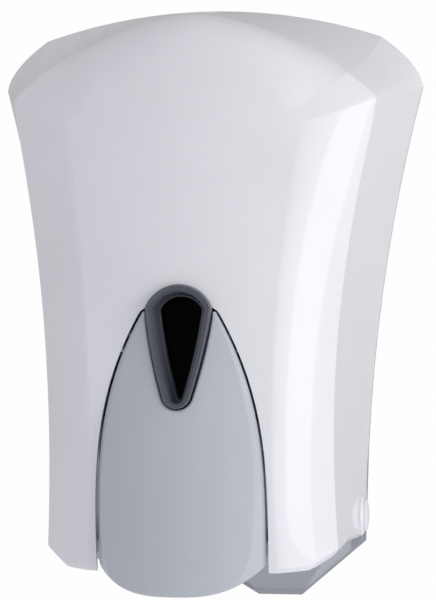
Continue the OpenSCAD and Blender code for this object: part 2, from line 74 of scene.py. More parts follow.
# the sides flare out from this far below the origin
FLARE, FLARE_BELOW, FLARE_POWER = 22.2, 95, 2.1
WALL = 2.5
ARCH_R = 210
ARCH_HALF = 67
REACH = 70
SHOULDER_DIR = 217
ARCH_END_DIR = 262
CORNER_CTRL = np.array([82.5, 93])
# front surface: its depth, the height of its foremost line, and its crown upwards and across
DEPTH, CROWN_BELOW, CROWN_UP, CROWN_ACROSS = 92, 20, 1110, 300
# inset of the front's edge from the outline, at each part of the outline
FOOT_INSET, WAIST_INSET, SHOULDER_WALL, SHOULDER_TURN = 6.4, 3.2, 11, 11.5
SHOULDER_INSET, ARCH_END_INSET, ARCH_INSET = 16.6, 22.2, 7
# rounding between wall and front: width, depth, and how square it starts
SIDE_ROUNDING = np.array([22, 18, 0.75])
CORNER_ROUNDING = np.array([24, 12, 0.7])
ARCH_ROUNDING = np.array([22, 24, 0.12])
# lower edge: where it steps up towards the wall, and its heights before and behind that step
EDGE_STEP = 43.5
FRONT_EDGE_Z, FRONT_RAMP_START, FRONT_RAMP = (-97.6, -99.0), 44, 14
REAR_EDGE_Z, REAR_RAMP_END = (-92.6, -91.4), 43
EDGE_CORNER_X, EDGE_CORNER_SLOPE = 46.3, 0.58
HINGE_CLEAR_R = 8.6
EDGE_TUCK = 0.44
HINGE = ((box_mm("hinge_pins")[0] + box_mm("hinge_pins")[1]) / 2)[1:]
HINGE_TIP = box_mm("hinge_pins")[1][0]
LOCK_Y = ((box_mm("lock_housing")[0] + box_mm("lock_housing")[1]) / 2)[1]
PUMP_Y = ((box_mm("nozzle")[0] + box_mm("nozzle")[1]) / 2)[1]
# window: radius and centre of its top, half width, and the same of its tip
WINDOW_R, WINDOW_Z, WINDOW_HALF = 13, -7.4, 12.1
WINDOW_TIP_R, WINDOW_TIP_Z, WINDOW_LEAN = 5.3, -33.7, 15
# lever: where its arch begins and how it narrows above that
LEVER_LOW = box_mm("push_lever")[0][2]
LEVER_HALF = box_mm("push_lever")[1][0]
LEVER_ARCH_Z, ARCH_LOSS, ARCH_LOSS_AT, ARCH_POWER = -85, 0.577, 81.4, 2.7
LEVER_GAP = 1.0
LEVER_TOP_Z = -4.2
# the face: its depth at the top, its crown, and the lean over the lever's height
LEVER_TOP_OUT, LEVER_CROWN = 93, 100
LEAN = math.atan(13 / 105)


# ---- mesh helpers ----
def add_object(name, vertices, faces, material, body, sharp=32):
    """A smooth shaded mesh from millimetres, riding on a body."""
    mesh = bpy.data.meshes.new(name)
    mesh.from_pydata((np.asarray(vertices, float) * MM).tolist(), [], [list(map(int, f)) for f in faces])
    mesh.validate()
    mesh.update()
    mesh.materials.append(material)
    obj = bpy.data.objects.new(name, mesh)
    bpy.context.scene.collection.objects.link(obj)
    finish_mesh(obj, sharp)
    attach(obj, body)
    return obj


def finish_mesh(obj, sharp):
    """Outward faces, smooth shading, and hard edges above an angle."""
    work = bmesh.new()
    work.from_mesh(obj.data)
    bmesh.ops.remove_doubles(work, verts=work.verts, dist=2e-6)
    bmesh.ops.recalc_face_normals(work, faces=work.faces)
    work.to_mesh(obj.data)
    work.free()
    obj.data.shade_smooth()
    obj.data.set_sharp_from_angle(angle=math.radians(sharp))


def bevel(obj, width, segments=3, angle=38):
    """Rounds the hard edges by a width in millimetres."""
    mod = obj.modifiers.new("edge", "BEVEL")
    mod.width = width * MM
    mod.segments = segments
    mod.limit_method = "ANGLE"
    mod.angle_limit = math.radians(angle)
    mod.harden_normals = True
    mod.use_clamp_overlap = True
    return obj


def apply_modifiers(obj):
    """Bakes the modifiers into the mesh."""
    graph = bpy.context.evaluated_depsgraph_get()
    mesh = bpy.data.meshes.new_from_object(obj.evaluated_get(graph))
    obj.modifiers.clear()
    obj.data = mesh
    return obj


def grid_faces(rows, columns, start=0, closed=False):
    """Quads of a grid of vertices stored row by row."""
    faces = []
    span = columns if closed else columns - 1
    for i in range(rows - 1):
        for j in range(span):
            k = (j + 1) % columns
            faces.append((
                start + i * columns + j, start + i * columns + k,
                start + (i + 1) * columns + k, start + (i + 1) * columns + j,
            ))
    return faces


def lathe(name, profile, centre, axis, material, body, steps=96, sharp=32):
    """A turned piece: profile is (distance along the axis, radius) in millimetres."""
    points, axis = [], Vector(axis)
    side = axis.orthogonal().normalized()
    other = axis.cross(side)
    for along, radius in profile:
        for k in range(steps):
            turn = 2 * math.pi * k / steps
            spoke = side * math.cos(turn) + other * math.sin(turn)
            points.append(Vector(centre) + axis * along + spoke * max(radius, 0.001))
    faces = grid_faces(len(profile), steps, closed=True)
    if profile[0][1] < 0.01 or profile[0] != profile[-1]:
        faces.append(tuple(range(steps))[::-1])
        faces.append(tuple((len(profile) - 1) * steps + k for k in range(steps)))
    return add_object(name, points, faces, material, body, sharp)


def prism(name, outline, low, high, axis, material, body, edge=0.3):
    """An outline, as points in the plane across an axis, extruded along it and bevelled."""
    order = {"x": (2, 0, 1), "y": (0, 2, 1), "z": (0, 1, 2)}[axis]
    points = []
    for level in (low, high):
        for a, b in outline:
            triple = (a, b, level)
            points.append([triple[order[0]], triple[order[1]], triple[order[2]]])
    n = len(outline)
    faces = [tuple(range(n)), tuple(range(2 * n - 1, n - 1, -1))]
    faces += [(k, n + k, n + (k + 1) % n, (k + 1) % n) for k in range(n)]
    return bevel(add_object(name, points, faces, material, body), edge)


# ---- material helpers ----
class Shader:
    """A Principled material with a small set of procedural details."""

    def __init__(self, name, color, roughness, **sockets):
        self.material = bpy.data.materials.new(name)
        self.material.use_nodes = True
        self.tree = self.material.node_tree
        self.main = self.tree.nodes["Principled BSDF"]
        self.color = color
        self.main.inputs["Base Color"].default_value = (*color, 1)
        self.main.inputs["Roughness"].default_value = roughness
        for key, value in sockets.items():
            self.main.inputs[key.replace("_", " ")].default_value = value
        self.place = self.tree.nodes.new("ShaderNodeTexCoord").outputs["Object"]

    def noise(self, scale, detail=3.0, stretch=(1, 1, 1)):
        """Noise in object space; scale is in features per metre."""
        mapping = self.tree.nodes.new("ShaderNodeMapping")
        mapping.inputs["Scale"].default_value = stretch
        self.tree.links.new(self.place, mapping.inputs["Vector"])
        node = self.tree.nodes.new("ShaderNodeTexNoise")
        node.inputs["Scale"].default_value = scale
        node.inputs["Detail"].default_value = detail
        self.tree.links.new(mapping.outputs["Vector"], node.inputs["Vector"])
        return node.outputs["Fac"]

    def ranged(self, factor, low, high, start=0.3, end=0.7):
        """A factor spread over a range of values."""
        node = self.tree.nodes.new("ShaderNodeMapRange")
        node.inputs["From Min"].default_value = start
        node.inputs["From Max"].default_value = end
        node.inputs["To Min"].default_value = low
        node.inputs["To Max"].default_value = high
        self.tree.links.new(factor, node.inputs["Value"])
        return node.outputs["Result"]

    def tint(self, factor, dark, light):
        """Colour that wanders between two shades of the base colour."""
        node = self.tree.nodes.new("ShaderNodeValToRGB")
        node.color_ramp.elements[0].position = 0.3
        node.color_ramp.elements[1].position = 0.7
        node.color_ramp.elements[0].color = (*[c * dark for c in self.color], 1)
        node.color_ramp.elements[1].color = (*[min(1, c * light) for c in self.color], 1)
        self.tree.links.new(factor, node.inputs["Fac"])
        self.tree.links.new(node.outputs["Color"], self.main.inputs["Base Color"])
        return self

    def rough(self, factor, low, high):
        """Roughness that wanders between two values."""
        self.tree.links.new(self.ranged(factor, low, high), self.main.inputs["Roughness"])
        return self

    def relief(self, fields, distance):
        """Bump from a list of (factor, weight), with a height in metres."""
        total = None
        for factor, weight in fields:
            node = self.tree.nodes.new("ShaderNodeMath")
            node.operation = "MULTIPLY_ADD"
            node.inputs[1].default_value = weight
            node.inputs[2].default_value = 0.0
            self.tree.links.new(factor, node.inputs[0])
            if total is not None:
                self.tree.links.new(total, node.inputs[2])
            total = node.outputs[0]
        bump = self.tree.nodes.new("ShaderNodeBump")
        bump.inputs["Strength"].default_value = 1.0
        bump.inputs["Distance"].default_value = distance
        self.tree.links.new(total, bump.inputs["Height"])
        self.tree.links.new(bump.outputs["Normal"], self.main.inputs["Normal"])
        return self


def moulded(name, color, roughness, grain=2600, depth=0.000012, spread=0.05, ripple=6.0, **sockets):
    """Injection moulded plastic: a fine skin, a slow ripple and faint handling marks."""
    s = Shader(name, color, roughness, **sockets)
    fine, slow, marks = s.noise(grain, 2), s.noise(28, 3), s.noise(90, 5, (1, 1, 0.4))
    s.tint(slow, 0.975, 1.02)
    s.rough(marks, max(0.03, roughness - spread), roughness + spread)
    s.relief([(fine, 1.0), (slow, ripple)], depth)
    return s.material


def brushed(name, color, roughness, stretch=(1, 1, 30), **sockets):
    """Drawn or machined metal with fine lines along one direction."""
    s = Shader(name, color, roughness, Metallic=1.0, **sockets)
    lines, stains = s.noise(700, 4, stretch), s.noise(120, 4)
    s.tint(stains, 0.86, 1.06)
    s.rough(lines, roughness * 0.7, roughness * 1.4)
    s.relief([(lines, 1.0)], 0.00001)
    return s.material


def rubber(name, color):
    """Matt rubber with a fine grain and a bloom."""
    s = Shader(name, color, 0.6)
    fine, bloom = s.noise(3500, 3), s.noise(160, 4)
    s.tint(bloom, 0.8, 1.35)
    s.rough(bloom, 0.5, 0.72)
    s.relief([(fine, 1.0)], 0.00002)
    return s.material


def clear(name, color, roughness, transmission, ior=1.49):
    """Tinted see-through plastic with flow marks."""
    s = Shader(name, color, roughness, Transmission_Weight=transmission, IOR=ior)
    flow, marks = s.noise(45, 4, (1, 1, 0.25)), s.noise(300, 3)
    s.tint(flow, 0.85, 1.15)
    s.rough(marks, max(0.02, roughness - 0.03), roughness + 0.05)
    s.relief([(flow, 1.0)], 0.00006)
    return s.material


MATERIALS = {
    "cover_white": moulded("cover_white", (0.87, 0.87, 0.88), 0.3, depth=0.000006, spread=0.02,
                           ripple=3.0, Coat_Weight=1.0, Coat_Roughness=0.03),
    "pin_white": moulded("pin_white", (0.80, 0.80, 0.82), 0.26),
    "lever_grey": moulded("lever_grey", (0.53, 0.56, 0.59), 0.34, depth=0.000012, ripple=3.0,
                          Coat_Weight=0.5, Coat_Roughness=0.08),
    "base_grey": moulded("base_grey", (0.42, 0.44, 0.46), 0.42, depth=0.00003),
    "cradle_grey": moulded("cradle_grey", (0.45, 0.46, 0.49), 0.45, depth=0.00003),
    "nut_grey": moulded("nut_grey", (0.22, 0.23, 0.25), 0.42, depth=0.00003),
    "pump_plastic": moulded("pump_plastic", (0.68, 0.69, 0.71), 0.35),
    "rocker_plastic": moulded("rocker_plastic", (0.26, 0.28, 0.31), 0.38),
    "clip_plastic": moulded("clip_plastic", (0.55, 0.56, 0.58), 0.4),
    "lid_dark": moulded("lid_dark", (0.030, 0.033, 0.040), 0.3),
    "bezel_smoke": clear("bezel_smoke", (0.13, 0.14, 0.165), 0.1, 0.2),
    "lens_smoke": clear("lens_smoke", (0.001, 0.001, 0.002), 0.06, 0.0, 1.1),
    "tank_smoke": clear("tank_smoke", (0.075, 0.085, 0.105), 0.24, 0.55),
    "seal_rubber": rubber("seal_rubber", (0.018, 0.018, 0.02)),
    "valve_silicone": rubber("valve_silicone", (0.52, 0.20, 0.10)),
    "steel": brushed("steel", (0.62, 0.62, 0.63), 0.26),
    "screw_steel": brushed("screw_steel", (0.55, 0.55, 0.57), 0.3),
    "ball_steel": brushed("ball_steel", (0.7, 0.7, 0.72), 0.12, (1, 1, 1)),
    "spring_steel": brushed("spring_steel", (0.5, 0.5, 0.52), 0.28, (1, 1, 1)),
    "clip_steel": brushed("clip_steel", (0.12, 0.12, 0.13), 0.35),
    "lock_chrome": brushed("lock_chrome", (0.72, 0.73, 0.75), 0.14, (1, 1, 1)),
    "lock_zinc": brushed("lock_zinc", (0.48, 0.49, 0.5), 0.36, (1, 30, 1)),
}


def dress(piece):
    """Returns a piece as it is, with nothing added."""
    return piece


# ---- cover: the same formulas as the frame's shell, in finer steps ----
def bezier(a, b, c, t):
    """A point of a curve from a to c, bent towards b."""
    return (1 - t) ** 2 * a + 2 * t * (1 - t) * b + t ** 2 * c


def blend(a, b, t):
    """A value or point between a and b."""
    return a + (b - a) * t


def half_width(z):
    """Half width of the rear edge at a height."""
    return FOOT_HALF + FLARE * max(0.0, (z + FLARE_BELOW) / (SHOULDER_Z + FLARE_BELOW)) ** FLARE_POWER


def arch_z(x):
    """Height of the arched top at a distance from the middle."""
    return TOP - ARCH_R + math.sqrt(ARCH_R ** 2 - x ** 2)


def front(x, z):
    """Depth of the front surface at a place in front view."""
    return DEPTH - (z + CROWN_BELOW) ** 2 / CROWN_UP - x ** 2 / CROWN_ACROSS


def side_point(f):
    """A point of the outline: x, z, inward direction, inset of the wall, rounding."""
    z = blend(-BOTTOM, SHOULDER_Z, f)
    turn = (SHOULDER_DIR - 180) * f ** 4
    lean = blend(FOOT_INSET, SHOULDER_WALL, f * f) + WAIST_INSET * math.sin(math.pi * f)
    inset = lean / math.cos(math.radians(turn + SHOULDER_TURN * f * f))
    return half_width(z), z, 180 + turn, inset, blend(SIDE_ROUNDING, CORNER_ROUNDING, f ** 4)


def corner_point(f):
    """The same for a point of the rounded corner above the shoulder."""
    start = np.array([half_width(SHOULDER_Z), SHOULDER_Z])
    place = bezier(start, CORNER_CTRL, np.array([ARCH_HALF, arch_z(ARCH_HALF)]), f)
    turn = blend(SHOULDER_DIR, ARCH_END_DIR, f)
    return place[0], place[1], turn, blend(SHOULDER_INSET, ARCH_END_INSET, f), CORNER_ROUNDING


def arch_point(f):
    """The same for a point of the arched top, up to its middle."""
    x, fade = ARCH_HALF * (1 - f), (1 - f) ** 1.5
    turn = blend(ARCH_END_DIR, 270, f)
    rounding = blend(ARCH_ROUNDING, CORNER_ROUNDING, fade ** 2)
    return x, arch_z(x), turn, blend(ARCH_INSET, ARCH_END_INSET, fade), rounding


def window_loop(shrink, top=9, side=7, tip=6):
    """Right half of the window's outline from its top to its tip, drawn in by shrink."""
    radius = WINDOW_R - shrink
    edge = WINDOW_HALF - 1.02 * shrink
    kink = math.asin(edge / radius)
    turns = [kink * k / top for k in range(top)]
    points = [(radius * math.sin(turn), radius * math.cos(turn) + WINDOW_Z) for turn in turns]
    corner = np.array([edge, WINDOW_Z + radius * math.cos(kink)])
    tip_r = max(WINDOW_TIP_R - shrink, 0.6)
    centre = np.array([0, WINDOW_TIP_Z - 0.3 * shrink])
    lean = math.radians(WINDOW_LEAN)
    low = centre + tip_r * np.array([math.cos(lean), -math.sin(lean)])
    bow = (corner + low) / 2 + np.array([1.5, 0])
    points += [tuple(bezier(corner, bow, low, k / side)) for k in range(side)]
    for k in range(tip + 1):
        turn = lean + (math.pi / 2 - lean) * k / tip
        points.append((centre[0] + tip_r * math.cos(turn), centre[1] - tip_r * math.sin(turn)))
    return np.array(points)


def lever_half(z):
    """Half width of the lever at a height."""
    if z <= LEVER_ARCH_Z:
        return LEVER_HALF
    return LEVER_HALF * (1 - ARCH_LOSS * ((z - LEVER_ARCH_Z) / ARCH_LOSS_AT) ** ARCH_POWER)


def resample(points, shares):
    """Points at shares of the length along a line of points."""
    points = np.asarray(points, float)
    steps = np.hypot(*np.diff(points, axis=0).T)
    length = np.concatenate([[0], np.cumsum(steps)])
    at = np.asarray(shares) * length[-1]
    return np.stack([np.interp(at, length, points[:, k]) for k in range(2)], axis=1)


def opening_line():
    """Right half of the lever's opening in the cover, from its foot up and round the window's top."""
    sides = [(lever_half(z) + LEVER_GAP, z) for z in np.linspace(-BOTTOM, LEVER_TOP_Z, 60)]
    arc = window_loop(-0.1, top=16)[:17][::-1]
    return np.array(sides + [tuple(p) for p in arc])


def lower_edge(x, y):
    """Height of the cover's lower edge, which steps up towards the wall and is round about the hinge."""
    ahead = -y
    if ahead > EDGE_STEP:
        z = blend(*FRONT_EDGE_Z, min(1, (ahead - FRONT_RAMP_START) / FRONT_RAMP))
        return max(z, FRONT_EDGE_Z[1] + (abs(x) - EDGE_CORNER_X) * EDGE_CORNER_SLOPE)
    if y < HINGE[0]:
        return blend(*REAR_EDGE_Z, (ahead + HINGE[0]) / (REAR_RAMP_END + HINGE[0]))
    return HINGE[1] - math.sqrt(max(0, HINGE_CLEAR_R ** 2 - (y - HINGE[0]) ** 2))


# shares of the wall's depth, closer together where the lower edge steps up
WALL_STEPS = [
    0, 0.02, 0.06, 0.11, 0.17, 0.24, 0.32, 0.42, 0.46,
    0.53, 0.58, 0.605, 0.625, 0.66, 0.74, 0.83, 0.92, 1,
]
ROUND_STEPS = 16
FRONT_STEPS = 20


def cover_columns():
    """The outline's right half from the lower edge to the middle of the arch."""
    side = [0, 0.010, 0.02, 0.035, 0.05] + list(np.linspace(0.07, 0.985, 50)) + [0.995]
    points = [side_point(f) for f in side]
    points += [corner_point(f) for f in np.linspace(0, 1, 15)]
    points += [arch_point(f) for f in np.linspace(0.008, 1, 30)]
    return points


def cover_skin(thick):
    """Rings of points from the rear edge to the lever's opening, as an array of ring, column, xyz."""
    half = cover_columns()
    line = np.array([[p[0], p[1]] for p in half])
    run = np.concatenate([[0], np.cumsum(np.hypot(*np.diff(line, axis=0).T))])
    ends = resample(opening_line(), 1 - (1 - run / run[-1]) ** 2.1)
    rings = [[] for _ in range(len(WALL_STEPS) + ROUND_STEPS + FRONT_STEPS)]
    for (x, z, turn, inset, (width, drop, pull)), end in zip(half, ends):
        aim = np.array([math.cos(math.radians(turn)), math.sin(math.radians(turn))])
        start = np.array([x, z]) + thick * aim
        spine = np.array([0, min(z, 56)])
        bend = start + aim * REACH / 2
        track, depths = [], []
        for u in WALL_STEPS:
            track.append(bezier(start, bend, spine, inset * u / REACH))
            depths.append(("wall", u))
        for s in np.linspace(0, 1, ROUND_STEPS + 1)[1:]:
            reach = inset + width * (2 * s * (1 - s) * pull + s * s)
            track.append(bezier(start, bend, spine, reach / REACH))
            depths.append(("round", s))
        last = track[-1]
        heading = (track[-1] - track[-2]) / np.linalg.norm(track[-1] - track[-2])
        middle = last + heading * np.linalg.norm(end - last) * 0.15
        for v in np.linspace(0, 1, FRONT_STEPS + 1)[1:]:
            track.append(bezier(last, middle, end, v))
            depths.append(("front", v))
        for ring, (place, (kind, t)) in zip(rings, zip(track, depths)):
            ring.append((place[0], place[1], kind, t, drop))
    return np.array([settle_ring(ring, thick) for ring in rings])


def settle_ring(ring, thick):
    """Depths of one ring's points, once its lowest ones are moved onto the cover's lower edge."""
    def depth_at(x, z, kind, t, drop):
        out = front(x, z) - thick
        if kind == "wall":
            return blend(REAR, out - drop, t)
        if kind == "round":
            return out - drop + drop * (2 * t - t * t)
        return out
    x0, z0, *rest = ring[0]
    edge = lower_edge(x0, -depth_at(x0, z0, *rest))
    edge = lower_edge(x0, -depth_at(x0, edge, *rest))
    points = []
    for x, z, *rest in ring:
        share = max(0.0, min(1.0, (-55 - z) / (-55 - z0)))
        lift = (edge - z0) * share
        points.append((x, -depth_at(x, z + lift, *rest), z + lift))
    return points


def make_cover():
    """The white shell: an outer and an inner skin, joined round both edges."""
    outer, inner = cover_skin(0), cover_skin(WALL)
    # the outer lower edge is drawn in a little, as a bevel that catches the light
    tuck = EDGE_TUCK * (outer[:, 0] - inner[:, 0])
    tuck[:, 2] = 0
    outer[:, 0] -= tuck
    rings, columns = outer.shape[:2]
    both = []
    for skin in (outer, inner):
        mirrored = skin[:, ::-1][:, 1:] * np.array([-1, 1, 1])
        both.append(np.concatenate([skin, mirrored], axis=1))
    across = both[0].shape[1]
    points = np.concatenate([skin.reshape(-1, 3) for skin in both])
    size = rings * across
    faces = grid_faces(rings, across) + grid_faces(rings, across, size)
    for j in range(across - 1):
        faces.append((j, j + 1, size + j + 1, size + j))
        low = (rings - 1) * across + j
        faces.append((low, low + 1, size + low + 1, size + low))
    for i in range(rings - 1):
        for j in (0, across - 1):
            a, b = i * across + j, (i + 1) * across + j
            faces.append((a, b, size + b, size + a))
    shell = add_object("cover_shell", points, faces, MATERIALS["cover_white"], "cover", 13)
    cut_rounds(shell)
    bevel(shell, 0.35, 2, 50)
    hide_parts("cover")
    return dress(shell)


def cut_rounds(shell):
    """Cuts the round places for the hinge collars and the lock into the shell."""
    cutters = []
    for side in (-1, 1):
        profile = [(52, 0), (52, 8.1), (60.2, 8.1), (61.1, 7.0), (70, 7.0), (70, 0)]
        centre = (0, HINGE[0], HINGE[1])
        cutters.append(lathe("cutter", profile, centre, (side, 0, 0), MATERIALS["cover_white"], "cover"))
    well = [(96, 0), (96, 9.8), (125, 9.8), (125, 0)]
    cutters.append(lathe("cutter", well, (0, LOCK_Y, 0), (0, 0, 1), MATERIALS["cover_white"], "cover"))
    for cutter in cutters:
        mod = shell.modifiers.new("cut", "BOOLEAN")
        mod.operation = "DIFFERENCE"
        mod.solver = "EXACT"
        mod.object = cutter
    apply_modifiers(shell)
    for cutter in cutters:
        bpy.data.objects.remove(cutter)


def make_cover_details():
    """Hinge collars, lugs for the lever and the boss round the lock."""
    white = MATERIALS["cover_white"]
    for side, label in ((-1, "l"), (1, "r")):
        inner = [(56.2, 3.05), (56.2, 8.0), (56.5, 8.15), (60.2, 8.15), (60.9, 7.3), (61.1, 7.1)]
        rim = [(61.1, 6.85), (60.8, 6.6), (60.2, 6.6), (60.2, 3.05), (56.2, 3.05)]
        centre = (0, HINGE[0], HINGE[1])
        collar = lathe("hinge_collar_" + label, inner + rim, centre, (side, 0, 0), white, "cover")
        dress(collar)
        lug = [(-88.9, -5), (-82, -8), (-78, -12), (-82, -16), (-88.9, -19)]
        ends = sorted((20.7 * side, 23.4 * side))
        dress(prism("lever_lug_" + label, lug, *ends, "x", white, "cover", 0.5))
    low = box_mm("lock_housing")[1][2] - 8.6
    boss = [(low, 7.05), (low, 10.6), (low + 0.4, 11), (low + 8.6, 11), (low + 9.0, 10.6), (low + 9.2, 9.9)]
    well = [(low + 9.0, 9.4), (low + 8.6, 9.3), (low + 7.2, 9.3), (low + 7.2, 7.05), (low, 7.05)]
    dress(lathe("lock_boss", boss + well, (0, LOCK_Y, 0), (0, 0, 1), white, "cover"))
    seat = [(0.02, 89.3), (0.02, 91.6), (1.8, 91.6), (1.8, 89.3), (0.02, 89.3)]
    dress(ring_loft("window_seat", seat, white))


def ring_loft(name, levels, material, sharp=30, top=9, side=7, tip=6):
    """A closed frame lofted through window outlines, each (shrink, depth) or (shrink, depth function)."""
    points = []
    for shrink, depth in levels:
        for x, z in close_loop(window_loop(shrink, top, side, tip)):
            points.append((x, -(depth(x, z) if callable(depth) else depth), z))
    count = len(points) // len(levels)
    return add_object(name, points, grid_faces(len(levels), count, closed=True), material, "cover", sharp)


# ---- window ----
LENS_REAR = -box_mm("window_lens")[1][1]


def bezel_face(x, z):
    """Depth of the window frame's face, which leans out like the lever."""
    return 94.4 + (2 - z) * 5 / 42 - x * x / 300


def make_window():
    """The smoked frame with its stepped funnel, and the dark pane at its rear."""
    def back(amount):
        return lambda x, z: bezel_face(x, z) - amount
    hole = 4.35
    levels = [
        (1.85, 89.4), (1.85, 92.1), (0.05, 92.1), (0.05, back(0.9)), (0.12, back(0.55)), (0.35, back(0.12)),
        (0.6, back(0)), (0.85, back(0.15)), (1.0, back(0.6)), (1.2, back(0.75)), (2.0, back(0.75)),
        (2.12, back(1.1)), (2.3, back(0.95)), (2.5, back(1.05)), (2.65, back(1.4)), (2.9, back(3)),
        (3.5, back(6.2)), (3.9, back(8.6)), (4.05, back(8.9)), (4.25, back(8.95)), (hole, back(9.2)),
        (hole, LENS_REAR + 2.6), (1.85, LENS_REAR + 2.6), (1.85, 89.4),
    ]
    bezel = ring_loft("window_frame", levels, MATERIALS["bezel_smoke"], sharp=28, top=16, side=12, tip=12)
    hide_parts("window_bezel")
    dress(bezel)
    pane_in, pane_face = hole - 1.2, LENS_REAR + 1.9
    pane = [(pane_in, LENS_REAR), (pane_in, LENS_REAR + 1.4), (hole, pane_face), (6.0, pane_face)]
    right = [window_loop(s, 16, 12, 12) for s, _ in pane]
    points = []
    for line, (_, depth) in zip(right, pane):
        points += [(x, -depth, z) for x, z in close_loop(line)]
    count = len(points) // len(pane)
    faces = grid_faces(len(pane), count, closed=True)
    faces += [tuple(range(count)), tuple(range(3 * count, 4 * count))[::-1]]
    lens = add_object("window_pane", points, faces, MATERIALS["lens_smoke"], "cover")
    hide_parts("window_lens")
    dress(lens)


def close_loop(right):
    """A whole outline from its right half."""
    return np.concatenate([right, right[1:-1][::-1] * np.array([-1, 1])])


# ---- push lever ----
def lever_face(x, z):
    """Depth of the lever's face: a wide cylinder that leans out towards the foot."""
    return LEVER_TOP_OUT - z * math.tan(LEAN) - x * x / LEVER_CROWN * math.cos(LEAN)


# heights where the horns end below the window, and where the sides turn into the foot
TIP_Z = -33.0
CORNER_Z = LEVER_LOW + 9.2
LEVER_REAR = 80.2
HORN_STEPS, FOOT_STEPS = 26, 66


def lever_outline():
    """Lever outline from its right tip down the side and round the foot to the middle."""
    horn = [(lever_half(z), z) for z in np.linspace(LEVER_TOP_Z, TIP_Z, HORN_STEPS)]
    side = [(lever_half(z), z) for z in np.linspace(TIP_Z, CORNER_Z, 40)]
    foot = [(LEVER_HALF * math.cos(a), blend(LEVER_LOW, CORNER_Z, math.cos(a) ** 3))
            for a in np.linspace(0.06, math.pi / 2, 30)]
    rest = resample(side + foot, np.linspace(0, 1, FOOT_STEPS))
    rest[1:-1] = smooth_line(rest, 1)[1:-1]
    return mirror_line(np.array(horn + list(rest[1:])))


def lever_inner():
    """The edge round the window, with a point beside each of the lever's outline."""
    line = window_loop(-0.6, 9, 24, 24)
    below = line[line[:, 1] < 0][::-1]
    horn = [(np.interp(z, below[:, 1], below[:, 0]), z) for z in np.linspace(LEVER_TOP_Z, TIP_Z, HORN_STEPS)]
    tip = np.concatenate([[horn[-1]], line[line[:, 1] < TIP_Z]])
    return mirror_line(np.array(horn + list(resample(tip, np.linspace(0, 1, FOOT_STEPS))[1:])))


def mirror_line(half):
    """A whole line from its right half, which ends in the middle."""
    return np.concatenate([half, half[:-1][::-1] * np.array([-1, 1])])


def smooth_line(points, passes):
    """Rounds the corners of a line of points a little."""
    points = points.copy()
    for _ in range(passes):
        points[1:-1] = (points[:-2] + 2 * points[1:-1] + points[2:]) / 4
    return points


def side_slant(z):
    """Width of the slanting side of the lever at a height, widest at its foot."""
    return 1.1 + 0.032 * max(0, -z - 10) + 0.2 * max(0, -z - 88)


def lever_crease(outer, room):
    """The line where face and slanting side meet, and how much of a side each point is, 0 to 1."""
    # the sides slant down to the foot, whose lower edge is only rounded
    share = np.where(outer[:, 1] < CORNER_Z + 1, (np.abs(outer[:, 0]) / LEVER_HALF) ** 4, 1)
    slant = np.minimum([side_slant(z) for z in outer[:, 1]], 0.4 * room)
    shift = np.stack([-np.sign(outer[:, 0]) * slant * share, 0.8 * (1 - share)], axis=1)
    return outer + shift, share


def lever_lines(outer, inner, crease, lip_width):
    """Lines of points from the window's edge out to the side's rear, each (line, kind, value)."""
    toward = crease - inner
    toward /= np.linalg.norm(toward, axis=1)[:, None]
    lines = [(inner, "back", 88.4)]
    for turn in (0, 25, 50, 75):
        angle = math.radians(turn)
        line = inner + toward * lip_width * (1 - math.cos(angle))
        lines.append((line, "lip", 1 - math.sin(angle)))
    lip = inner + toward * lip_width
    lines += [(blend(lip, crease, t), "face", 0) for t in np.linspace(0, 1, 18)]
    lines += [(blend(crease, outer, t), "slant", t) for t in (0.06, 0.2, 0.4, 0.6, 0.8, 1)]
    lines += [(outer, "drop", t) for t in (0.3, 1)]
    return lines


def slant_depths(outer, crease, share):
    """Depths at which the slanting side starts and ends, beside each point of the outline."""
    pairs = []
    for (x, z), corner, part in zip(outer, crease, share):
        top = lever_face(*corner)
        base = min(front(x, max(z, -98)) - 0.5, top - 0.3)
        pairs.append((top, blend(top - 1.8, base, part)))
    return pairs


def lever_depth(kind, value, x, z, lip, ends):
    """Depth of one point of the lever's shell, by the kind of line that it lies on."""
    if kind == "back":
        return min(value, lever_face(x, z) - 1.2)
    if kind == "lip":
        return lever_face(x, z) - value * lip
    if kind == "face":
        return lever_face(x, z)
    if kind == "slant":
        return blend(*ends, value)
    return blend(ends[1], LEVER_REAR, value)


def make_lever():
    """The grey lever: a shell whose face, lip and slanting sides follow its outline."""
    outer, inner = lever_outline(), lever_inner()
    room = np.linalg.norm(outer - inner, axis=1)
    crease, share = lever_crease(outer, room)
    lip_width = np.minimum(0.9, 0.3 * room)[:, None]
    lines = lever_lines(outer, inner, crease, lip_width)
    ends = slant_depths(outer, crease, share)
    points = []
    for line, kind, value in lines:
        for k, (x, z) in enumerate(line):
            depth = lever_depth(kind, value, x, z, float(lip_width[k, 0]), ends[k])
            points.append((x, -depth, z))
    faces = grid_faces(len(lines), len(outer))
    shell = add_object("lever_shell", points, faces, MATERIALS["lever_grey"], "lever", 30)
    thicken_lever(shell)
    bevel(shell, 0.55, 4, 32)
    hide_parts("push_lever")
    dress(shell)
    make_lever_inside()


def thicken_lever(shell):
    """Gives the shell its wall, which thins out where the horns are narrow."""
    group = shell.vertex_groups.new(name="wall")
    for vertex in shell.data.vertices:
        z = (vertex.co / MM).z
        room_here = lever_half(z) - WINDOW_HALF * max(0, 1 - (-z - 2.6) / 70)
        group.add([vertex.index], max(0.12, min(1, (room_here - 0.5) / 5)), "REPLACE")
    wall = shell.modifiers.new("wall", "SOLIDIFY")
    wall.thickness = 2.2 * MM
    wall.offset = -1
    wall.vertex_group = "wall"
    wall.use_rim = True


